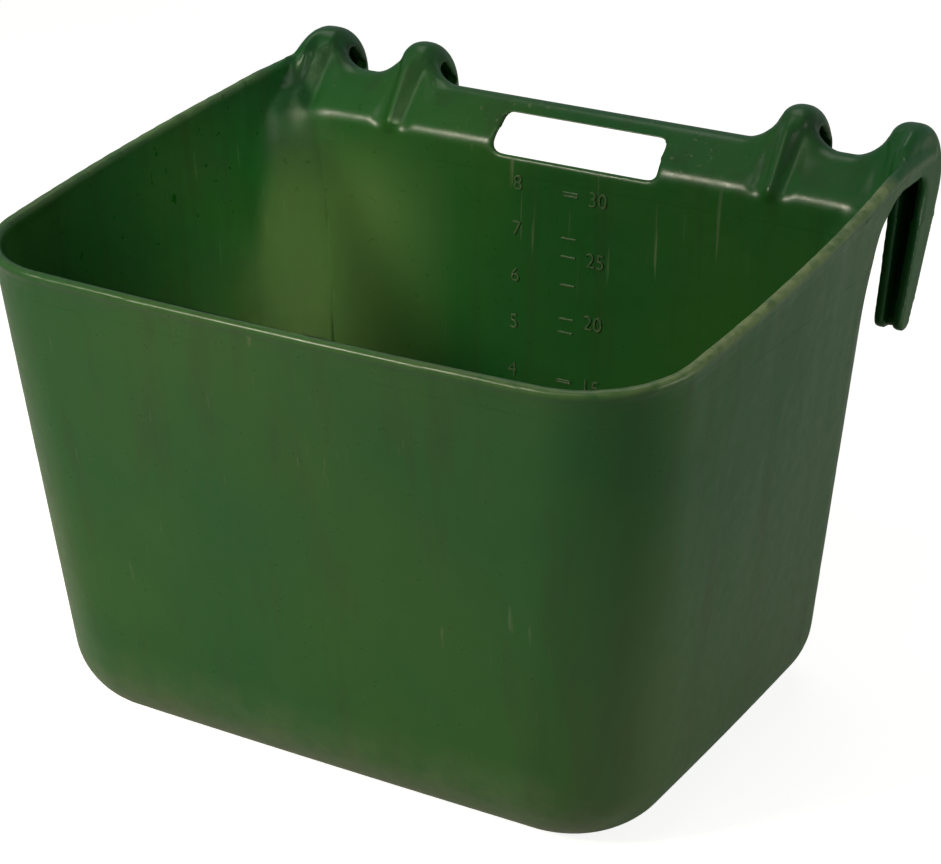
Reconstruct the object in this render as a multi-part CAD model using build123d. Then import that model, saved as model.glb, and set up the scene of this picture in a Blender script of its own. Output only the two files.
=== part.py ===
from build123d import *
import os
from math import atan2, cos, degrees, radians, sin, tan

# Hook-on feed bucket, moulded in one piece from polyethylene.
# Origin at the middle of the flat underside, +Z up, +Y towards the rail that carries the bucket,
# +X along the rail. All sizes are in millimetres.

# Tub
floor_width = 379.0
floor_depth = 289.0
rim_width = 417.6
front_height = 290.5
rim_rise = 30.6
front_lean = 33.2
back_lean = 6.7
front_corner_radius = 61.0
back_corner_radius = 55.0
floor_edge_radius = 46.0
front_bow = 5.7
side_bow = 7.0
floor_bow = 1.0
wall = 4.0
floor_thickness = 4.5

# The back corners close up towards the outer hooks
tightening_start = front_height - 54.5
tight_corner_radius = 27.0

# Rim bead
bead_height = 9.0
bead_overhang = 2.2
bead_inner_overhang = 0.8
bead_rounding = 3.0

# Header, the back edge rolled over towards the rail
fold_height = front_height - 4.5
fold_radius = 14.0
fold_angle = 50.0
header_top = fold_height + 27.4
roll_radius = 12.0
roll_end_angle = 170.0

# Hand slot
slot_width = 110.0
slot_bottom = fold_height - 0.5
slot_top = slot_bottom + 21.0
slot_corner_radius = 3.5

# Hooks
hook_width = 22.0
hook_spacing = 68.7
hook_top = header_top + 21.1
hook_radius = 38.0
hook_rounding = 10.0
outer_side_rounding = 7.0
hook_wall = 4.0
seat_height = fold_height + 18.0
rail_gap = 44.0
arm_angle = 23.0
arm_tip_depth = 17.0
arm_tip_height = seat_height - 95.0
arm_side_draft = 1.4
arm_lip = 6.5
lip_rounding = 1.5
seat_corner_radius = 10.0
seat_share = 0.75
tip_radius = 7.5

# Straight front of the hooks, which climbs out of the header's fold
ridge_foot = fold_height + 4.0
ridge_angle = 35.0
ridge_rounding = 18.0

# Shoulder outside each outer hook, as (distance, share of the way from the fold to the rim, angle, drop)
shoulder_rows = (
    (1.0, 0.0, 53.0, 0.5),
    (5.5, 0.35, 57.0, 0.4),
    (8.5, 0.7, 33.0, 1.8),
    (10.6, 1.0, 13.4, 4.8),
)
shoulder_points = 8

# Flare that carries each hook's height over to the header, as (distance, share of the height)
flare_shares = ((6.0, 0.90), (11.0, 0.58), (16.0, 0.30), (22.0, 0.11), (29.0, 0.0))
flare_front = 3.0
flare_sink = 0.4
flare_points = 6
corner_sink = 0.3

# Eyes through the hook sides
eye_length = 24.0
eye_width = 9.0
eye_distance = 21.5
eye_angle = 43.0
eye_rim_width = 2.6
eye_rim_proud = 0.9

# Side walls and bead carried on across the outer hooks
cheek_sink = 0.3
tail_crest_margin = 7.1
tail_end_margin = 57.9
tail_drop = 3.0
tail_height = 6.0
tail_width = 5.0

# Cuts between the members of the moulding
header_base = fold_height - 10.0
header_cut_margin = 47.0
hook_cut_margin = 19.0
reach = 400.0


def share_of_height(z):
    """Height z as a share of the height of the front rim."""
    return z / front_height


def back_face(z):
    """Y of the outer face of the back wall."""
    return floor_depth / 2 + back_lean * share_of_height(z)


def front_face(z):
    """Y of the outer face of the front wall at its corners."""
    return -floor_depth / 2 - front_lean * share_of_height(z)


def half_width(z):
    """X of the outer face of the side wall at its corners."""
    return (floor_width + (rim_width - floor_width) * share_of_height(z)) / 2


def bow(rim_value, z):
    """How far a wall bulges in its middle, which grows towards the rim."""
    return floor_bow + (rim_value - floor_bow) * share_of_height(z)


def back_radius(z):
    """Radius of the back corners, which close up towards the rail seat."""
    climb = (z - tightening_start) / (seat_height - tightening_start)
    share = min(max(climb, 0), 1) ** 2
    return back_corner_radius + (tight_corner_radius - back_corner_radius) * share


def tightening_heights():
    """Section heights from where the back corners start to close up to above the rim."""
    steps = 4
    step = (header_base - tightening_start) / steps
    heights = [tightening_start + step * i for i in range(steps + 1)]
    return heights + [header_top, hook_top]


def tub_section(z, inset):
    """Horizontal section of the tub at height z, moved inwards by inset."""
    side = half_width(z) - inset
    front = front_face(z) + inset
    back = back_face(z) - inset
    middle = (front + back) / 2
    outline = [
        ThreePointArc((-side, front), (0, front - bow(front_bow, z)), (side, front)),
        ThreePointArc((side, front), (side + bow(side_bow, z), middle), (side, back)),
        Line((side, back), (-side, back)),
        ThreePointArc((-side, back), (-side - bow(side_bow, z), middle), (-side, front)),
    ]
    section = make_face(outline)
    front_corners = section.vertices().sort_by(Axis.Y)[:2]
    section = fillet(front_corners, front_corner_radius - inset)
    back_corners = section.vertices().sort_by(Axis.Y)[-2:]
    section = fillet(back_corners, back_radius(z) - inset)
    return Pos(0, 0, z) * section


def tub_solid(inset, bottom):
    """The tub's outer form, or its hollow when moved inwards."""
    low = loft([tub_section(z, inset) for z in (bottom, tightening_start)], ruled=True)
    low = fillet(low.faces().sort_by(Axis.Z)[0].edges(), floor_edge_radius - inset)
    return low + tub_top(inset)


def tub_top(inset):
    """The upper part of the tub's outer form, above where the back corners start to close up."""
    return loft([tub_section(z, inset) for z in tightening_heights()])


def extrude_along_x(face, start, end):
    """A YZ profile, drawn as (Y, Z), run along X from start to end."""
    return Pos(start, 0, 0) * extrude(Plane.YZ * face, end - start)


def box_between(low, high):
    """A box from its lowest to its highest corner."""
    size = [b - a for a, b in zip(low, high)]
    middle = [(a + b) / 2 for a, b in zip(low, high)]
    return Pos(*middle) * Box(*size)


# Planes and places that several members share
rim_angle = degrees(atan2(rim_rise, back_face(front_height) - front_face(front_height)))
rim_normal = (0, -sin(radians(rim_angle)), cos(radians(rim_angle)))
rim_plane = Plane(origin=(0, front_face(front_height), front_height), z_dir=rim_normal)
fold_face = back_face(fold_height) - wall
header_cut = fold_face - header_cut_margin
side_face = half_width(seat_height)
arch_centre = (fold_face + hook_radius, hook_top - hook_radius)
outer_hook_centre = side_face - hook_width / 2
inner_hook_centre = outer_hook_centre - hook_spacing
tail_crest = fold_face - tail_crest_margin
tail_end = fold_face + tail_end_margin
bead_width = wall + bead_overhang + bead_inner_overhang
seat_front = fold_face + wall + (seat_height - fold_height) * tan(radians(fold_angle)) * seat_share


# Corners of the header's section
slope_start = (
    fold_face + fold_radius * (1 - cos(radians(fold_angle))),
    fold_height + fold_radius * sin(radians(fold_angle)),
)
slope_rise = header_top - roll_radius * (1 - sin(radians(fold_angle))) - slope_start[1]
slope_end = (slope_start[0] + slope_rise * tan(radians(fold_angle)), slope_start[1] + slope_rise)
fold_centre = (fold_face + fold_radius, fold_height)
roll_centre = (slope_end[0] + roll_radius * cos(radians(fold_angle)), header_top - roll_radius)


def header_line(depth):
    """The header's outer line, depth inside it: up the fold, up the slope and down the roll."""
    fold = CenterArc(fold_centre, fold_radius - depth, 180, -fold_angle)
    roll = CenterArc(roll_centre, roll_radius - depth, 180 - fold_angle, fold_angle - roll_end_angle)
    return [fold, Line(fold @ 1, roll @ 0), roll]


def header_profile():
    """The header's section, from the back wall up over the fold and down the roll."""
    top = header_line(0)
    under = header_line(wall)
    base = back_face(header_base)
    front_side = Line(top[0] @ 0, (base - wall, header_base))
    back_side = Line(under[0] @ 0, (base, header_base))
    ends = [Line(front_side @ 1, back_side @ 1), Line(top[2] @ 1, under[2] @ 1)]
    return make_face(top + under + [front_side, back_side] + ends)


def header_surface(y):
    """Height of the header's upper surface at depth y."""
    if y < slope_start[0]:
        return fold_height + (fold_radius**2 - (fold_centre[0] - y) ** 2) ** 0.5
    if y < slope_end[0]:
        return slope_start[1] + (y - slope_start[0]) / tan(radians(fold_angle))
    return roll_centre[1] + (roll_radius**2 - (y - roll_centre[0]) ** 2) ** 0.5


def arch_surface(y):
    """Height of the hooks' arch at depth y."""
    return arch_centre[1] + (hook_radius**2 - (y - arch_centre[0]) ** 2) ** 0.5


def ridge_depth(z):
    """Y of the hooks' straight front at height z."""
    return fold_face + (z - ridge_foot) * tan(radians(ridge_angle))


def ridge_surface(y):
    """Height of the hooks' outer edge at depth y, up the straight front and over the arch."""
    return min(ridge_foot + (y - fold_face) / tan(radians(ridge_angle)), arch_surface(y))


def flare_section(distance, share):
    """The flare beside a hook, cut at a distance from the hook's middle."""
    under = header_line(wall / 2)
    start = fold_face + flare_front
    end = roll_centre[0] + roll_radius - flare_front
    points = [under[0] @ 0 + Vector(0, 0.1)]
    for i in range(flare_points):
        y = start + (end - start) * i / (flare_points - 1)
        low = header_surface(y)
        points.append((y, low - flare_sink + share * (ridge_surface(y) - low)))
    points.append(under[2] @ 1)
    top = Spline(*points)
    section = make_face([top, Line(under[0] @ 0, top @ 0)] + under)
    return Pos(distance, 0, 0) * (Plane.YZ * section)


def flare():
    """The flare on the right of a hook in the middle plane."""
    return loft([flare_section(distance, share) for distance, share in flare_shares])


def arm_back(z):
    """Y of the straight back of the hooks' arms at height z."""
    lean = radians(arm_angle)
    start_y = arch_centre[0] + hook_radius * cos(lean)
    start_z = arch_centre[1] - hook_radius * sin(lean)
    return start_y - (start_z - z) * tan(lean)


def ridge_head(margin):
    """Where the hooks' straight front meets the arch, both moved inwards by margin."""
    turn = radians(ridge_angle)
    across = (fold_face + margin / cos(turn) - arch_centre[0], ridge_foot - arch_centre[1])
    beside = across[0] * cos(turn) - across[1] * sin(turn)
    run = ((hook_radius - margin) ** 2 - beside**2) ** 0.5 - across[0] * sin(turn) - across[1] * cos(turn)
    return (arch_centre[0] + across[0] + run * sin(turn), ridge_foot + run * cos(turn))


def arm_front(z):
    """Y of the arms' front, which faces the rail, at height z."""
    tip = arm_back(arm_tip_height) - arm_tip_depth
    seat = back_face(seat_height) + rail_gap
    return tip + (seat - tip) * (z - arm_tip_height) / (seat_height - arm_tip_height)


def hook_outer_edge(margin):
    """The arch over the rail, margin inside the hook's outer edge."""
    head = ridge_head(margin)
    start = degrees(atan2(head[1] - arch_centre[1], head[0] - arch_centre[0]))
    return CenterArc(arch_centre, hook_radius - margin, start, -(start + arm_angle))


def with_rounded_head(face, margin):
    """A hook outline with the corner between its straight front and the arch rounded."""
    head = ridge_head(margin)
    corner = face.vertices().sort_by_distance((head[0], head[1], 0))[0]
    return fillet(corner, ridge_rounding - margin)


def hook_envelope():
    """Everything inside the hook's outer edge, rail space included."""
    arch = hook_outer_edge(0)
    arm_start = arch @ 1
    points = [
        (arm_start.X, arm_start.Y),
        (arm_back(arm_tip_height), arm_tip_height),
        (ridge_depth(arm_tip_height), arm_tip_height),
        ridge_head(0),
    ]
    return with_rounded_head(make_face([arch, Polyline(*points)]), 0)


def hook_outline():
    """The hook's side face: arch, leaning arm, rail seat and front foot."""
    arch = hook_outer_edge(0)
    arm_start = arch @ 1
    points = [
        (arm_start.X, arm_start.Y),
        (arm_back(arm_tip_height), arm_tip_height),
        (arm_front(arm_tip_height), arm_tip_height),
        (arm_front(seat_height), seat_height),
        (seat_front, seat_height),
        (fold_face + wall, fold_height),
        (back_face(header_base), header_base),
        (back_face(header_base) - wall / 2, header_base),
        (fold_face + wall / 2, fold_height),
        (fold_face + wall / 2, ridge_surface(fold_face + wall / 2)),
        ridge_head(0),
    ]
    face = with_rounded_head(make_face([arch, Polyline(*points)]), 0)
    tips = [v for v in face.vertices() if abs(v.Y - arm_tip_height) < 0.01]
    face = fillet(tips, tip_radius)
    corner = face.vertices().sort_by_distance((arm_front(seat_height), seat_height, 0))[0]
    return fillet(corner, seat_corner_radius)


def hollow_outline():
    """Side outline of the hollow under a hook's arch and inside its arm."""
    arch = hook_outer_edge(hook_wall)
    arm_start = arch @ 1
    low = arm_tip_height - 2 * tip_radius
    low_back = arm_start.X - (arm_start.Y - low) * tan(radians(arm_angle))
    front = fold_face + hook_wall / cos(radians(ridge_angle))
    points = [
        (arm_start.X, arm_start.Y),
        (low_back, low),
        (front, low),
        (front, ridge_foot),
        ridge_head(hook_wall),
    ]
    return with_rounded_head(make_face([arch, Polyline(*points)]), hook_wall)


def arm_taper(width):
    """A block of the given width whose sides close in along the arm."""
    half = width / 2
    start = seat_height - seat_corner_radius
    low = arm_tip_height - 3 * tip_radius
    tip = half - (start - low) * tan(radians(arm_side_draft))
    outline = Polyline(
        (-half, reach), (half, reach), (half, start), (tip, low), (-tip, low), (-half, start), close=True
    )
    return Pos(0, reach, 0) * extrude(Plane.XZ * make_face(outline), 2 * reach)


def hook_block(right_rounding):
    """A hook before it is hollowed out, with its outer edges rounded over."""
    half = hook_width / 2
    envelope = extrude_along_x(hook_envelope(), -half, half)
    left_edges = envelope.edges().filter_by(on_outer_edge).filter_by(on_left_face)
    rounded = fillet(left_edges, hook_rounding)
    right_edges = rounded.edges().filter_by(on_outer_edge).filter_by(on_right_face)
    rounded = fillet(right_edges, right_rounding) & arm_taper(hook_width)
    return rounded & extrude_along_x(hook_outline(), -half, half)


def on_outer_edge(edge):
    """True for the edges of the envelope, its flat bottom left out."""
    return edge.position_at(0.5).Z > arm_tip_height + 1


def on_left_face(edge):
    """True for an edge on the left face of a hook in the middle plane."""
    return edge.position_at(0.5).X < -hook_width / 2 + 0.01


def on_right_face(edge):
    """True for an edge on the right face of a hook in the middle plane."""
    return edge.position_at(0.5).X > hook_width / 2 - 0.01


def on_arm_front(edge):
    """True for the long edges at the arm's front, outside and in the hollow."""
    middle = edge.position_at(0.5)
    long = edge.length > (seat_height - arm_tip_height) / 2
    return long and abs(middle.Y - arm_front(middle.Z)) < lip_rounding


def hook_hollow():
    """The space under a hook's arch and between the two sides of its arm."""
    width = hook_width - 2 * arm_lip
    half = width / 2
    return extrude_along_x(hollow_outline(), -half, half) & arm_taper(width)


def eye_slot(extra, start, end):
    """A slot along X at the eye's place, wider by extra all round, from start to end."""
    turn = radians(eye_angle)
    place = Pos(0, arch_centre[0] + eye_distance * cos(turn), arch_centre[1] + eye_distance * sin(turn))
    slot = SlotOverall(eye_length + 2 * extra, eye_width + 2 * extra, rotation=eye_angle - 90)
    return place * extrude_along_x(slot, start, end)


def with_left_eye(hook):
    """A hook in the middle plane with the eye and its raised rim added to its left side."""
    face = -hook_width / 2
    rim = eye_slot(eye_rim_width, face - eye_rim_proud, face + eye_rim_proud)
    return hook + rim - eye_slot(0, face - 2 * eye_rim_proud, 0)


def hand_slot():
    """The slot that a hand goes through, cut through the header's fold and slope."""
    opening = RectangleRounded(slot_width, slot_top - slot_bottom, slot_corner_radius)
    middle = (slot_top + slot_bottom) / 2
    end = arch_centre[0] - roll_radius
    return Pos(0, end, middle) * extrude(Plane.XZ * opening, end)


def tub_shell():
    """The walls and floor in one piece, up to the rim plane and the header's lower edge."""
    shell = tub_solid(0, 0) - tub_solid(wall, floor_thickness)
    shell = split(shell, bisect_by=rim_plane, keep=Keep.BOTTOM)
    return shell - box_between((-reach, header_cut, header_base), (reach, reach, reach))


def bead_ring():
    """The bead round the front and side rim, ending where the outer hooks begin."""
    ring = tub_top(-bead_overhang) - tub_top(wall + bead_inner_overhang)
    ring = split(ring, bisect_by=rim_plane, keep=Keep.BOTTOM)
    ring = split(ring, bisect_by=rim_plane.offset(-bead_height), keep=Keep.TOP)
    ring -= box_between((-reach, header_cut, 0), (reach, reach, reach))
    long_edges = ring.edges().filter_by(lambda edge: edge.position_at(0.5).Y < header_cut - 1)
    return fillet(long_edges, bead_rounding)


def rim_height(y):
    """Height of the rim plane at depth y."""
    return front_height + (y - front_face(front_height)) * tan(radians(rim_angle))


def side_outline(y, z, thickness):
    """X of the side wall's outer face and of a face inside it, at depth y and height z."""
    middle = (front_face(z) + back_face(z)) / 2
    half_depth = (back_face(z) - front_face(z)) / 2
    outer = half_width(z) + bow(side_bow, z) * (1 - ((y - middle) / half_depth) ** 2)
    return outer, outer - thickness


def header_depth(z, inset):
    """Y of the back wall's outer face, or of a face inside it, followed up the header's slope."""
    if z <= fold_height:
        return back_face(z) - inset
    radius = fold_radius - wall + inset
    turn = radians(fold_angle)
    if z < fold_height + radius * sin(turn):
        return fold_centre[0] - (radius**2 - (z - fold_height) ** 2) ** 0.5
    slope = z - fold_height - radius * sin(turn)
    return fold_centre[0] - radius * cos(turn) + slope * tan(turn)


def corner_section(z, inset, sink):
    """Right back corner at height z, moved inwards by inset, its back a little inside the header."""
    back = header_depth(z, inset) - sink
    points = [
        (0, header_cut),
        (side_outline(header_cut, z, inset)[1], header_cut),
        (half_width(z) - inset, back),
        (0, back),
    ]
    section = make_face(Polyline(*points, close=True))
    corner = section.vertices().sort_by_distance((reach, reach, 0))[0]
    return Pos(0, 0, z) * fillet(corner, back_radius(z) - inset)


def corner_form(inset, sink):
    """The right back corner, folding back over the rail as it closes up."""
    steps = 6
    step = (seat_height - header_base) / steps
    return loft([corner_section(header_base + step * i, inset, sink) for i in range(steps + 1)])


def shoulder_section(distance, climb, angle, drop):
    """The shoulder outside an outer hook: a front that rises from its foot and rounds on to the arch."""
    low = (fold_face + flare_front, header_surface(fold_face + flare_front))
    high = (tail_crest, rim_height(tail_crest))
    foot = [a + climb * (b - a) for a, b in zip(low, high)]
    touch = arch_centre[0] - hook_radius * sin(radians(angle))
    points = [tuple(foot)]
    for i in range(1, shoulder_points):
        y = foot[0] + (arch_centre[0] - foot[0]) * i / (shoulder_points - 1)
        z = foot[1] + (y - foot[0]) * tan(radians(angle))
        if y > touch:
            z = min(z, arch_surface(y) - drop)
        points.append((y, z))
    top = Spline(*points)
    base = Polyline(points[-1], (arch_centre[0], header_base), (foot[0], header_base), points[0])
    return Pos(distance, 0, 0) * (Plane.YZ * make_face([top, base]))


def shoulder():
    """The surface between an outer hook in the middle plane and the side wall, above the rail seat."""
    outline = [
        (tail_crest, hook_top),
        (tail_crest, seat_height),
        (fold_face + wall / 2, seat_height),
        (fold_face + wall / 2, fold_height),
        (fold_face + wall, fold_height),
        (seat_front, seat_height),
        (arch_centre[0], seat_height),
        (arch_centre[0], hook_top),
    ]
    zone = extrude_along_x(make_face(Polyline(*outline, close=True)), 0, hook_width)
    return loft([shoulder_section(*row) for row in shoulder_rows]) & zone


def cheek():
    """The side wall above the rail seat, carried on to the outer hook and turning upright."""
    low_outer, low_inner = side_outline(header_cut, seat_height, wall)
    top_outer, top_inner = side_outline(header_cut, hook_top, wall)
    start = Polyline(
        (low_outer, header_cut, seat_height),
        (top_outer, header_cut, hook_top),
        (top_inner, header_cut, hook_top),
        (low_inner, header_cut, seat_height),
        close=True,
    )
    end_outer = side_face - cheek_sink
    end_y = arch_centre[0]
    end = Polyline(
        (end_outer, end_y, seat_height),
        (end_outer, end_y, hook_top),
        (end_outer - wall, end_y, hook_top),
        (end_outer - wall, end_y, seat_height),
        close=True,
    )
    block = loft([make_face(start), make_face(end)], ruled=True)
    side = [(header_cut, seat_height)]
    side += [(y, z - height / 2) for y, z, height, width, outer in tail_stations()]
    side += [(tail_end, seat_height)]
    return block & extrude_along_x(make_face(Polyline(*side, close=True)), 0, reach)


def tail_stations():
    """Depth, top, height, width and outer face of the bead where it runs on across the outer hook."""
    start_top = rim_height(header_cut)
    start_outer = side_outline(header_cut, start_top, 0)[0] + bead_overhang
    crest_top = rim_height(tail_crest)
    crest_outer = side_outline(tail_crest, crest_top, 0)[0] + bead_overhang
    return (
        (header_cut, start_top, bead_height, bead_width, start_outer),
        (tail_crest, crest_top, bead_height, bead_width, crest_outer),
        (tail_end, crest_top - tail_drop, tail_height, tail_width, side_face + bead_overhang / 2),
    )


def bead_tail():
    """The bead's end, which runs on across an outer hook and gets lower and flatter."""
    sections = []
    for y, top, height, width, outer in tail_stations():
        rounding = bead_rounding * width / bead_width
        outline = RectangleRounded(width, height, rounding, align=(Align.MAX, Align.MAX))
        sections.append(Pos(outer, y, top) * (Plane.XZ * outline))
    return loft(sections)


def hooked_header(right_rounding):
    """A hook in the middle plane with the header on its left, a flare and an eye."""
    header = extrude_along_x(header_profile(), -hook_reach, hook_width / 2 - hook_wall / 2)
    hook = header + hook_block(right_rounding) + mirror(flare(), about=Plane.YZ) - hook_hollow()
    return with_left_eye(fillet(hook.edges().filter_by(on_arm_front), lip_rounding))


def inner_hook(centre):
    """A hook beside the hand slot, with a flare and an eye on both sides."""
    right = extrude_along_x(header_profile(), hook_width / 2 - hook_wall / 2, hook_reach) + flare()
    hook = mirror(hooked_header(hook_rounding) + (right - hook_hollow()), about=Plane.YZ)
    return Pos(centre, 0, 0) * with_left_eye(hook)


def outer_hook():
    """The right-hand outer hook with the tub's corner under it and the end of the bead."""
    hook = Pos(outer_hook_centre, 0, 0) * (hooked_header(outer_side_rounding) + shoulder())
    corner_low = (outer_edge, header_cut, header_base)
    corner_high = (reach, seat_back_depth, seat_height)
    outer_form = corner_form(0, corner_sink)
    hook -= box_between(corner_low, corner_high) - outer_form
    corner = (outer_form - corner_form(wall, -corner_sink)) & box_between(corner_low, corner_high)
    return hook + corner + cheek() + bead_tail()


def header_between(start, end):
    """The rolled header between two hooks."""
    return extrude_along_x(header_profile(), start, end)


def floor_plate():
    """The flat part of the floor, inside the rounded edge up to the walls."""
    margin = floor_edge_radius + wall
    corner = front_corner_radius - floor_edge_radius
    outline = RectangleRounded(floor_width - 2 * margin, floor_depth - 2 * margin, corner)
    return extrude(outline, floor_thickness)


hook_reach = hook_width / 2 + hook_cut_margin
inner_edges = (inner_hook_centre - hook_reach, inner_hook_centre + hook_reach)
outer_edge = outer_hook_centre - hook_reach
seat_back_depth = roll_centre[0]

shell = tub_shell()
everything = Box(2 * reach, 2 * reach, 2 * reach)
bead_zone = split(everything, bisect_by=rim_plane.offset(-bead_height), keep=Keep.TOP)
floor_panel = floor_plate()
right_outer = outer_hook()
members = {
    "tub_wall": shell - bead_zone - floor_panel,
    "floor_panel": floor_panel,
    "rim_bead": bead_ring(),
    "handle_header": header_between(-inner_edges[0], inner_edges[0]) - hand_slot(),
    "left_header": header_between(-outer_edge, -inner_edges[1]),
    "right_header": header_between(inner_edges[1], outer_edge),
    "left_outer_hook": mirror(right_outer, about=Plane.YZ),
    "left_inner_hook": inner_hook(-inner_hook_centre),
    "right_inner_hook": inner_hook(inner_hook_centre),
    "right_outer_hook": right_outer,
}

os.makedirs("parts", exist_ok=True)
for name, member in members.items():
    export_step(member.solids()[0], f"parts/{name}.step")
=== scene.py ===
from math import atan2, exp, radians

import bmesh
import bpy
from mathutils import Matrix, Vector


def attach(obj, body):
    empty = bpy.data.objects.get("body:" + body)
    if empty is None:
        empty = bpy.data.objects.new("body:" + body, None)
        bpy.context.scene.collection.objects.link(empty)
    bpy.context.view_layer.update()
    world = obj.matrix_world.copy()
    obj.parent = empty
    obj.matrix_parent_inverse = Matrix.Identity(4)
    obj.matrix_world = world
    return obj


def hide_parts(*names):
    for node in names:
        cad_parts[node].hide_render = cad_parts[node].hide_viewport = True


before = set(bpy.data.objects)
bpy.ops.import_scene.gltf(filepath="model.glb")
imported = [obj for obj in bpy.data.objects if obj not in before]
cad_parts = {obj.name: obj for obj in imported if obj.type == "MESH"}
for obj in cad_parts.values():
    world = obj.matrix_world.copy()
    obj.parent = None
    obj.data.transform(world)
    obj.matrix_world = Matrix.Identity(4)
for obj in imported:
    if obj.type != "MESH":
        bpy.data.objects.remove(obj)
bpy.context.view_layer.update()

scene = bpy.context.scene
scene.view_settings.view_transform = "Standard"

# The photograph's view, in degrees and metres, with the lens in millimetres
VIEW_AZIMUTH = 29.67
VIEW_ELEVATION = 23.59
VIEW_ROLL = 0.65
VIEW_PLACE = (0.7237, -1.2437, 0.7929)
SENSOR_WIDTH = 36.0
FOCAL_LENGTH = 103.3

# The rim, header and hooks, blended into one skin. All sizes are in metres.
UPPER = (
    "rim_bead",
    "handle_header",
    "left_header",
    "right_header",
    "left_inner_hook",
    "right_inner_hook",
    "left_outer_hook",
    "right_outer_hook",
)
SKIN_PITCH = 0.0016
WELD = 0.00002
SHARP_ANGLE = radians(32.0)

# The skin's strip of wall starts inside the tub wall, which is cut off a little above its foot
STRIP_FOOT = 0.270
STRIP_RISE = 0.0008
STRIP_INSET = 0.00025
TUB_TOP = 0.2725

# Rounds of smoothing: everywhere above the tub wall, at the fold, and where the bead runs out
BLEND_FOOT = TUB_TOP + 0.002
BLEND_ROUNDS = 3
FOLD_ROUNDS = 10
FOLD_SPAN = (0.276, 0.298)
RUN_OUT_ROUNDS = 8
RUN_OUT_SPAN = (0.006, 0.0115)

# The rib down the front of each hook: its X, its height, its valleys' depth, and whether it has two
RIBS = (
    (-0.1300, 0.0034, 0.0018, True),
    (0.1300, 0.0034, 0.0018, True),
    (-0.1987, 0.0014, 0.0018, False),
    (0.1987, 0.0014, 0.0018, False),
)
RIB_FOOT = 0.2835
RIB_RISE = 0.010
RIB_HEAD = 0.331
RIB_WIDTH = 0.0040
RIB_FACING = Vector((0.0, -0.82, 0.57))
RIB_LEAST_FACING = 0.3
VALLEY_OFFSET = 0.0090
VALLEY_RISE = (0.002, 0.014)
HEADER_FRONT = 0.140
HEADER_RISE = 0.008

# The bead, the slope of the rim that it follows, and the span of Y where its run-out fades away
BEAD_OVERHANG = 0.0022
BEAD_HEIGHT = 0.009
BEAD_ROUNDING = 0.003
BEAD_CREST = 0.0022
BEAD_TAIL = (0.085, 0.110)
BEAD_LEAST_LEVEL = 0.1
FRONT_FACE = -0.1777
RIM_FRONT = 0.2905
RIM_SLOPE = 0.0930

# The inner face of the back wall, which carries the scale
BACK_FOOT = 0.1405
BACK_LEAN = 0.0067 / 0.2905

# The scale's marks: numbers beside dashes, small units on the left and large ones on the right
MARK_PROUD = 0.0007
MARK_SUNK = 0.0004
MARK_WELD = 0.000001
DIGIT_SIZE = 0.0135
DIGIT_BEVEL = 0.00012
DIGIT_THINNING = 0.00018
DASH_SIZE = (0.010, 0.0011)
DASH_BEVEL = 0.0002
DASH_X = 0.0
SMALL_UNITS_X = -0.040
SMALL_UNITS = (
    (8, 0.2684),
    (7, 0.2391),
    (6, 0.2089),
    (5, 0.1779),
    (4, 0.1461),
    (3, 0.1134),
    (2, 0.0797),
    (1, 0.0446),
)
LARGE_UNITS_X = 0.012
LARGE_UNITS = (
    (30, 0.2663),
    (25, 0.2273),
    (20, 0.1868),
    (15, 0.1446),
    (10, 0.1008),
    (5, 0.0548),
)

# Strengths of the room and of the floor's glow: their light, what the camera sees and reflections add
ROOM_LIGHT = 0.16
ROOM_SEEN = 1.35
ROOM_REFLECTED = 0.10
PAPER_SEEN = 0.86
PAPER_REFLECTED = 0.08
FLOOR_REACH = 6.0

# Soft square lamps: name, place, the place faced, size, power in watts, colour, spread in degrees
MIDDLE = (0.0, 0.0, 0.2)
LAMPS = (
    ("key", (-0.90, -1.60, 1.10), (-0.2, -0.4, 0.0), 0.4, 5.8, (1.0, 0.91, 0.75), 70.0),
    ("right", (2.0, 0.4, 0.35), MIDDLE, 1.0, 13.0, (1.0, 1.0, 0.84), 180.0),
    ("high", (0.0, -1.3, 2.4), MIDDLE, 0.9, 6.0, (1.0, 0.97, 0.90), 180.0),
    ("inside", (1.0, -1.1, 1.3), (-0.20, 0.11, 0.20), 0.15, 0.085, (1.0, 0.95, 0.70), 7.0),
    ("top", (-0.4, 0.9, 2.4), MIDDLE, 1.2, 7.5, (1.0, 0.97, 0.92), 180.0),
)


# Materials

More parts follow.
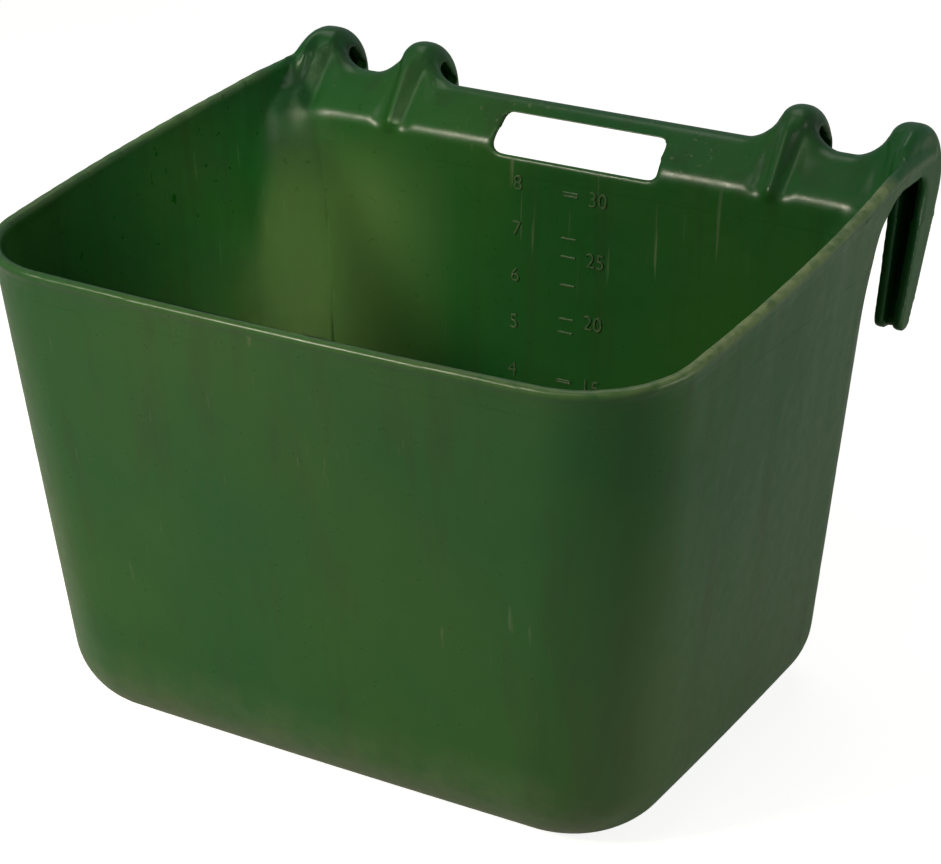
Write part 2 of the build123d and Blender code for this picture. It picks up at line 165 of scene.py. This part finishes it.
class Nodes:
    """Short calls for the node tree of one material."""

    def __init__(self, material):
        material.use_nodes = True
        self.tree = material.node_tree
        self.shader = self.tree.nodes["Principled BSDF"]
        self.place = self.add("ShaderNodeTexCoord").outputs["Object"]

    def add(self, kind, settings=None, **inputs):
        """A node with its settings, and its inputs set or linked by name."""
        node = self.tree.nodes.new(kind)
        for name, value in (settings or {}).items():
            setattr(node, name, value)
        for name, value in inputs.items():
            self.feed(node.inputs[name.replace("_", " ")], value)
        return node

    def feed(self, socket, value):
        """Set a socket, or link it when the value is another node's output."""
        if isinstance(value, bpy.types.NodeSocket):
            self.tree.links.new(value, socket)
        else:
            socket.default_value = value

    def noise(self, scale, detail=4.0, roughness=0.55, place=None):
        """Noise over the object, with its scale in waves a metre."""
        node = self.add(
            "ShaderNodeTexNoise",
            Vector=place or self.place,
            Scale=scale,
            Detail=detail,
            Roughness=roughness,
        )
        return node.outputs["Fac"]

    def stretched(self, factors, turn=(0.0, 0.0, 0.0), shift=(0.0, 0.0, 0.0)):
        """Object coordinates stretched by the factors after a turn."""
        node = self.add(
            "ShaderNodeMapping", Vector=self.place, Scale=factors, Rotation=turn, Location=shift
        )
        return node.outputs["Vector"]

    def band(self, value, low, high, out_low=0.0, out_high=1.0):
        """The value between low and high spread from out_low to out_high, and held there beyond."""
        node = self.add("ShaderNodeMapRange", Value=value)
        ends = {"From Min": low, "From Max": high, "To Min": out_low, "To Max": out_high}
        for name, number in ends.items():
            node.inputs[name].default_value = number
        return node.outputs["Result"]

    def combined(self, operation, a, b):
        """Two values put together by a mathematical operation."""
        node = self.add("ShaderNodeMath", {"operation": operation})
        self.feed(node.inputs[0], a)
        self.feed(node.inputs[1], b)
        return node.outputs[0]

    def times(self, a, b):
        """Two values multiplied."""
        return self.combined("MULTIPLY", a, b)

    def plus(self, a, b):
        """Two values added."""
        return self.combined("ADD", a, b)

    def larger(self, a, b):
        """The larger of two values."""
        return self.combined("MAXIMUM", a, b)

    def blend(self, share, first, second):
        """One colour turning into another as share goes from 0 to 1."""
        node = self.add("ShaderNodeMix", {"data_type": "RGBA"})
        self.feed(node.inputs["Factor"], share)
        self.feed(node.inputs["A"], first)
        self.feed(node.inputs["B"], second)
        return node.outputs["Result"]

    def axes(self):
        """X, Y and Z of each point."""
        split = self.add("ShaderNodeSeparateXYZ", Vector=self.place)
        return [split.outputs[axis] for axis in "XYZ"]

    def bump(self, height, distance, normal=None):
        """Relief of the given depth in metres."""
        node = self.add("ShaderNodeBump", Height=height, Distance=distance, Strength=1.0)
        if normal:
            self.feed(node.inputs["Normal"], normal)
        return node.outputs["Normal"]


def scratches(n, scale, length_factor, turn, low, high):
    """Fine scratches along a turned axis, in scattered patches, where noise goes from low to high."""
    along = n.stretched((1.0, 1.0, length_factor), turn)
    lines = n.band(n.noise(scale, 2.0, 0.5, along), low, high)
    scattered = n.stretched((1.0, 1.0, 1.0), turn, (3.1, 1.7, 0.4))
    return n.times(lines, n.band(n.noise(9.0, 2.0, 0.5, scattered), 0.50, 0.62))


def chafed_crest(n, x, y, z):
    """How far the rim's crest, with its slope taken out, is chafed and carries a painted highlight:
    most on the right side.
    """
    crest = n.band(n.plus(z, n.times(y, -RIM_SLOPE)), 0.3025, 0.3060)
    crest = n.times(crest, n.band(y, 0.115, 0.135, 1.0, 0.0))
    crest = n.times(crest, n.band(y, -0.170, -0.110, 0.40, 1.0))
    crest = n.times(crest, n.band(x, 0.02, 0.21, 0.30, 1.0))
    return n.times(crest, n.band(n.noise(90.0, 5.0, 0.7), 0.25, 0.52))


def faded_corner(n, x, y, z):
    """How far painted light makes the inner back left corner paler, from 0 to 1."""
    corner = n.band(n.plus(x, n.times(y, -0.5)), -0.215, -0.150, 1.0, 0.0)
    corner = n.times(corner, n.band(y, 0.060, 0.125))
    corner = n.times(corner, n.band(x, -0.2035, -0.2000))
    return n.times(corner, n.band(z, 0.295, 0.240))


def polyethylene(name, rubbed_share):
    """Deep green moulded polyethylene, mottled, streaked and scuffed, and rubbed pale by a share, with
    painted light in the inner back corner, a painted highlight on the rim's crest and a painted sheen
    low on the sides.
    """
    material = bpy.data.materials.new(name)
    n = Nodes(material)
    x, y, z = n.axes()
    deep = (0.010, 0.080, 0.015, 1.0)
    olive = (0.020, 0.088, 0.014, 1.0)
    dust_and_sheen = (0.110, 0.150, 0.075, 1.0)
    grime = (0.022, 0.044, 0.012, 1.0)
    corner_light_colour = (0.060, 0.130, 0.036, 1.0)
    chafed_highlight_colour = (0.260, 0.310, 0.130, 1.0)

    # Pale where it is scratched, rubbed at the foot, or rubbed all over, and a painted sheen low on
    # the sides
    upright = scratches(n, 260.0, 0.05, (0.10, 0.25, 0.0), 0.675, 0.76)
    slanting = scratches(n, 300.0, 0.04, (0.5, 0.9, 0.3), 0.69, 0.77)
    pale = n.times(n.larger(upright, slanting), 0.55)
    foot = n.times(n.band(z, 0.004, 0.060, 1.0, 0.0), n.band(n.noise(55.0, 6.0, 0.7), 0.25, 0.60))
    pale = n.larger(pale, n.times(foot, 0.75))
    worn = n.band(n.noise(380.0, 3.0), 0.35, 0.65, 0.5 * rubbed_share, 1.5 * rubbed_share)
    pale = n.larger(pale, worn)
    side = n.band(n.combined("ABSOLUTE", x, 0.0), 0.150, 0.200)
    # Painted sheen: the lower side walls are made paler where they would reflect the floor
    pale = n.larger(pale, n.times(side, n.band(z, 0.03, 0.24, 0.45, 0.0)))

    # Colour: clouds, upright streaks of grime, painted light in the inner back left corner, the chafed
    # crest with its painted highlight, and the pale wear with the painted sheen
    colour = n.blend(n.band(n.noise(7.0, 3.0), 0.38, 0.64), deep, olive)
    streaks = n.noise(60.0, 4.0, 0.6, n.stretched((1.0, 1.0, 0.07)))
    colour = n.blend(n.times(n.band(streaks, 0.52, 0.72), 0.45), colour, grime)
    # Painted light: the inner back left corner is made paler and warmer
    colour = n.blend(faded_corner(n, x, y, z), colour, corner_light_colour)
    # The rim's crest is chafed, and its pale warm colour is also a painted highlight
    colour = n.blend(n.times(chafed_crest(n, x, y, z), 0.70), colour, chafed_highlight_colour)
    n.feed(n.shader.inputs["Base Color"], n.blend(pale, colour, dust_and_sheen))

    # Gloss, duller where it is pale
    grain = n.band(n.noise(140.0, 3.0), 0.3, 0.7, 0.27, 0.35)
    n.feed(n.shader.inputs["Roughness"], n.plus(grain, n.times(pale, 0.25)))
    n.shader.inputs["IOR"].default_value = 1.50
    n.shader.inputs["Specular IOR Level"].default_value = 0.32

    # Relief: long ripples, strongest on the sides, waves, the raised wear and painted sheen, and a
    # fine grain
    ripples = n.noise(22.0, 2.0, 0.4, n.stretched((1.0, 1.0, 0.22)))
    relief = n.bump(n.times(ripples, n.plus(n.times(side, 0.8), 0.2)), 0.0014)
    relief = n.bump(n.noise(20.0, 2.0), 0.0012, relief)
    relief = n.bump(pale, 0.00010, relief)
    n.feed(n.shader.inputs["Normal"], n.bump(n.noise(650.0, 2.0), 0.00004, relief))
    return material


plastic = polyethylene("green polyethylene", 0.0)
rubbed_plastic = polyethylene("rubbed green polyethylene", 0.42)


# The moulding

def finish_piece(piece, finish, *nodes):
    """Give a piece its finish and its body, in place of the nodes that it stands for."""
    piece.data.materials.clear()
    piece.data.materials.append(finish)
    scene.collection.objects.link(piece)
    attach(piece, "root")
    if nodes:
        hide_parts(*nodes)
    return piece


def member_copy(name):
    """A member of the moulding with its facets joined."""
    shape = bmesh.new()
    shape.from_mesh(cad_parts[name].data)
    bmesh.ops.remove_doubles(shape, verts=shape.verts, dist=WELD)
    return shape


def into_mesh(shape, name):
    """The finished mesh of a shape."""
    mesh = bpy.data.meshes.new(name)
    shape.to_mesh(mesh)
    shape.free()
    return mesh


def cut_level(shape, height, keep_above):
    """Cut the hollow tub at a height and close the ring that the cut leaves."""
    cut = bmesh.ops.bisect_plane(
        shape,
        geom=shape.verts[:] + shape.edges[:] + shape.faces[:],
        plane_co=(0.0, 0.0, height),
        plane_no=(0.0, 0.0, 1.0),
        clear_inner=keep_above,
        clear_outer=not keep_above,
    )
    ring = [part for part in cut["geom_cut"] if isinstance(part, bmesh.types.BMEdge)]
    bmesh.ops.bridge_loops(shape, edges=ring)


def smooth_member(name, top=None):
    """A member with smooth curves and crisp edges, cut off at a top height where one is given."""
    shape = member_copy(name)
    if top:
        cut_level(shape, top, False)
    mesh = into_mesh(shape, "smooth_" + name)
    mesh.shade_smooth()
    mesh.set_sharp_from_angle(angle=SHARP_ANGLE)
    return finish_piece(bpy.data.objects.new("smooth_" + name, mesh), plastic, name)


def skin_of(shape):
    """One unbroken skin round all the solids of a shape."""
    blank = bpy.data.objects.new("blank", into_mesh(shape, "blank"))
    scene.collection.objects.link(blank)
    wrap = blank.modifiers.new("wrap", "REMESH")
    wrap.mode = "VOXEL"
    wrap.voxel_size = SKIN_PITCH
    skin = bmesh.new()
    wrapped = blank.evaluated_get(bpy.context.evaluated_depsgraph_get())
    skin.from_mesh(bpy.data.meshes.new_from_object(wrapped))
    bpy.data.objects.remove(blank)
    return skin


def drop_crumbs(skin):
    """Keep the largest connected part of a skin."""
    left = set(skin.verts)
    largest = set()
    while left:
        group = {left.pop()}
        front = list(group)
        while front:
            vert = front.pop()
            for edge in vert.link_edges:
                other = edge.other_vert(vert)
                if other in left:
                    left.remove(other)
                    group.add(other)
                    front.append(other)
        if len(group) > len(largest):
            largest = group
    crumbs = [vert for vert in skin.verts if vert not in largest]
    bmesh.ops.delete(skin, geom=crumbs, context="VERTS")


def bell(value, middle, width):
    """A smooth hump of height 1 round the middle."""
    return exp(-(((value - middle) / width) ** 2))


def ramp(value, low, high):
    """A smooth step from 0 at low to 1 at high."""
    share = min(max((value - low) / (high - low), 0.0), 1.0)
    return share * share * (3.0 - 2.0 * share)


def rib_lift(place, facing):
    """How far the skin rises or sinks for the rib down the front of each hook."""
    if RIB_FACING.dot(facing) < RIB_LEAST_FACING or place.y < HEADER_FRONT or place.z < RIB_FOOT:
        return 0.0
    fade = 1.0 - ramp(place.z, RIB_HEAD - RIB_RISE, RIB_HEAD)
    fade *= ramp(place.y, HEADER_FRONT, HEADER_FRONT + HEADER_RISE)
    rib_rise = ramp(place.z, RIB_FOOT, RIB_FOOT + RIB_RISE)
    valley_rise = ramp(place.z, RIB_FOOT + VALLEY_RISE[0], RIB_FOOT + VALLEY_RISE[1])
    lift = 0.0
    for centre, height, depth, both_sides in RIBS:
        across = abs(place.x - centre)
        lift += height * bell(across, 0.0, RIB_WIDTH) * rib_rise
        if both_sides or abs(place.x) <= abs(centre):
            lift -= depth * bell(across, VALLEY_OFFSET, RIB_WIDTH) * valley_rise
    return lift * fade


def overhang(below):
    """How far the bead stands out at a distance below its crest, in the solid."""
    turn = min(max(below - (BEAD_HEIGHT - BEAD_ROUNDING), 0.0), BEAD_ROUNDING)
    return max(BEAD_OVERHANG - (BEAD_ROUNDING - (BEAD_ROUNDING**2 - turn**2) ** 0.5), 0.0)


def below_crest(place):
    """How far a place lies below the crest of the sloping rim."""
    return RIM_FRONT + (place.y - FRONT_FACE) * RIM_SLOPE - place.z


def bead_taper(place, facing):
    """The draw-in of the bead's outer side below its crest, so that it runs out into the wall."""
    below = below_crest(place)
    outward = place.x * facing.x + place.y * facing.y
    level = Vector((facing.x, facing.y, 0.0))
    if outward <= 0.0 or level.length < BEAD_LEAST_LEVEL or not BEAD_CREST < below < BEAD_HEIGHT:
        return Vector((0.0, 0.0, 0.0))
    target = BEAD_OVERHANG * (1.0 - ramp(below, BEAD_CREST, BEAD_HEIGHT))
    draw = max(overhang(below) - target, 0.0) * (1.0 - ramp(place.y, *BEAD_TAIL))
    return level.normalized() * -draw


def soften(skin, verts, rounds):
    """Relax a set of a skin's vertices towards their neighbours."""
    for _ in range(rounds):
        bmesh.ops.smooth_vert(
            skin, verts=verts, factor=0.5, use_axis_x=True, use_axis_y=True, use_axis_z=True
        )


def form_details(skin, blended):
    """Raise the ribs, draw in the bead, and set the skin's foot inside the tub wall."""
    skin.normal_update()
    moves = []
    for vert in blended:
        move = vert.normal * rib_lift(vert.co, vert.normal) + bead_taper(vert.co, vert.normal)
        moves.append((vert, move))
    for vert in skin.verts:
        if vert.co.z < TUB_TOP:
            inset = STRIP_INSET * (1.0 - ramp(vert.co.z, STRIP_FOOT + STRIP_RISE, TUB_TOP))
            moves.append((vert, vert.normal * -inset))
    for vert, move in moves:
        vert.co += move


def upper_moulding():
    """The rim, header and hooks with a strip of the walls, blended into one skin like the moulding."""
    strip = member_copy("tub_wall")
    cut_level(strip, STRIP_FOOT, True)
    parts = [into_mesh(strip, "strip")] + [into_mesh(member_copy(name), name) for name in UPPER]
    shape = bmesh.new()
    for part in parts:
        shape.from_mesh(part)
    skin = skin_of(shape)
    drop_crumbs(skin)

    blended = [vert for vert in skin.verts if vert.co.z > BLEND_FOOT]
    soften(skin, blended, BLEND_ROUNDS)
    header = [vert for vert in blended if vert.co.y > HEADER_FRONT]
    fold = [vert for vert in header if FOLD_SPAN[0] < vert.co.z < FOLD_SPAN[1]]
    soften(skin, fold, FOLD_ROUNDS)
    form_details(skin, blended)
    rim = [vert for vert in blended if vert.co.y < BEAD_TAIL[0]]
    run_out = [vert for vert in rim if RUN_OUT_SPAN[0] < below_crest(vert.co) < RUN_OUT_SPAN[1]]
    soften(skin, run_out, RUN_OUT_ROUNDS)

    mesh = into_mesh(skin, "rim_and_hooks")
    mesh.shade_smooth()
    return finish_piece(bpy.data.objects.new("rim_and_hooks", mesh), plastic, *UPPER)


smooth_member("floor_panel")
smooth_member("tub_wall", TUB_TOP)
upper_moulding()


# The scale on the inner back wall

def wall_place(x, z):
    """The place on the inner back wall at x and height z, facing the inside of the tub."""
    turn = Matrix.Rotation(radians(90.0) - atan2(BACK_LEAN, 1.0), 4, "X")
    return Matrix.Translation((x, BACK_FOOT + BACK_LEAN * z, z)) @ turn


def raised(mesh, x, z):
    """Set a flat mesh on the back wall as a raised mark."""
    mesh.transform(wall_place(x, z))
    return mesh


def number_mesh(number):
    """A number as a flat slab, centred in its height, from its left edge."""
    curve = bpy.data.curves.new("number", "FONT")
    curve.body = str(number)
    curve.size = DIGIT_SIZE
    curve.align_y = "CENTER"
    curve.extrude = (MARK_PROUD + MARK_SUNK) / 2
    curve.bevel_depth = DIGIT_BEVEL
    curve.bevel_resolution = 1
    curve.offset = -DIGIT_THINNING
    shape = bpy.data.objects.new("number", curve)
    mesh = bpy.data.meshes.new_from_object(shape)
    bpy.data.objects.remove(shape)
    mesh.transform(Matrix.Translation((0.0, 0.0, (MARK_PROUD - MARK_SUNK) / 2)))
    return mesh


def dash_mesh():
    """A short level dash with rounded edges, centred."""
    shape = bmesh.new()
    bmesh.ops.create_cube(shape, size=1.0)
    bmesh.ops.scale(shape, vec=(*DASH_SIZE, MARK_PROUD + MARK_SUNK), verts=shape.verts)
    bmesh.ops.translate(shape, vec=(0.0, 0.0, (MARK_PROUD - MARK_SUNK) / 2), verts=shape.verts)
    bmesh.ops.bevel(
        shape,
        geom=shape.edges,
        affect="EDGES",
        offset=DASH_BEVEL,
        segments=2,
        profile=0.5,
        material=-1,
    )
    return into_mesh(shape, "dash")


def scale_marks():
    """Plain numbers for the volume in two columns, with a dash between them for each."""
    marks = bmesh.new()
    for rows, x in ((SMALL_UNITS, SMALL_UNITS_X), (LARGE_UNITS, LARGE_UNITS_X)):
        for number, z in rows:
            for part in (raised(number_mesh(number), x, z), raised(dash_mesh(), DASH_X, z)):
                marks.from_mesh(part)
                bpy.data.meshes.remove(part)
    bmesh.ops.remove_doubles(marks, verts=marks.verts, dist=MARK_WELD)
    bmesh.ops.recalc_face_normals(marks, faces=marks.faces)
    mesh = into_mesh(marks, "scale_marks")
    return finish_piece(bpy.data.objects.new("scale_marks", mesh), rubbed_plastic)


scale_marks()


# Floor, light and camera

def seen_white(tree, base, camera_share, reflected_share):
    """A strength with one share added for the camera and another for reflections and clear things."""
    seen = tree.nodes.new("ShaderNodeLightPath")
    strength = base
    for ray, share in (
        ("Is Camera Ray", camera_share),
        ("Is Glossy Ray", reflected_share),
        ("Is Transmission Ray", reflected_share),
    ):
        add = tree.nodes.new("ShaderNodeMath")
        add.operation = "MULTIPLY_ADD"
        tree.links.new(seen.outputs[ray], add.inputs[0])
        add.inputs[1].default_value = share
        if isinstance(strength, float):
            add.inputs[2].default_value = strength
        else:
            tree.links.new(strength, add.inputs[2])
        strength = add.outputs[0]
    return strength


def backdrop():
    """A pale floor that shows white to the camera and still takes the bucket's shadow."""
    grid = bmesh.new()
    bmesh.ops.create_grid(grid, x_segments=1, y_segments=1, size=FLOOR_REACH)
    floor = bpy.data.objects.new("floor", into_mesh(grid, "floor"))
    scene.collection.objects.link(floor)
    material = bpy.data.materials.new("white paper")
    material.use_nodes = True
    tree = material.node_tree
    paper = tree.nodes["Principled BSDF"]
    paper.inputs["Base Color"].default_value = (0.56, 0.53, 0.48, 1.0)
    paper.inputs["Roughness"].default_value = 0.9
    paper.inputs["Specular IOR Level"].default_value = 0.0
    glow = tree.nodes.new("ShaderNodeEmission")
    tree.links.new(seen_white(tree, 0.0, PAPER_SEEN, PAPER_REFLECTED), glow.inputs["Strength"])
    both = tree.nodes.new("ShaderNodeAddShader")
    tree.links.new(paper.outputs[0], both.inputs[0])
    tree.links.new(glow.outputs[0], both.inputs[1])
    tree.links.new(both.outputs[0], tree.nodes["Material Output"].inputs["Surface"])
    floor.data.materials.append(material)


def softbox(name, place, target, size, power, colour, spread):
    """A square area lamp at a place, facing a target, with its light kept within a spread."""
    lamp = bpy.data.lights.new(name, "AREA")
    lamp.size = size
    lamp.energy = power
    lamp.color = colour
    lamp.spread = radians(spread)
    box = bpy.data.objects.new(name, lamp)
    box.location = place
    box.rotation_euler = (Vector(target) - Vector(place)).to_track_quat("-Z", "Y").to_euler()
    scene.collection.objects.link(box)


def sky():
    """A pale room all round, which the camera sees as white."""
    world = bpy.data.worlds.new("room")
    scene.world = world
    world.use_nodes = True
    tree = world.node_tree
    room = tree.nodes["Background"]
    room.inputs["Color"].default_value = (0.80, 0.95, 1.0, 1.0)
    strength = seen_white(tree, ROOM_LIGHT, ROOM_SEEN - ROOM_LIGHT, ROOM_REFLECTED)
    tree.links.new(strength, room.inputs["Strength"])


def camera():
    """The camera that took the photograph."""
    lens = bpy.data.cameras.new("camera")
    lens.lens = FOCAL_LENGTH
    lens.sensor_width = SENSOR_WIDTH
    lens.sensor_fit = "HORIZONTAL"
    eye = bpy.data.objects.new("camera", lens)
    turn = Matrix.Rotation(radians(VIEW_AZIMUTH), 4, "Z")
    turn @= Matrix.Rotation(radians(90 - VIEW_ELEVATION), 4, "X")
    turn @= Matrix.Rotation(radians(VIEW_ROLL), 4, "Z")
    eye.matrix_world = Matrix.Translation(VIEW_PLACE) @ turn
    scene.collection.objects.link(eye)
    scene.camera = eye


backdrop()
sky()
for lamp in LAMPS:
    softbox(*lamp)
camera()
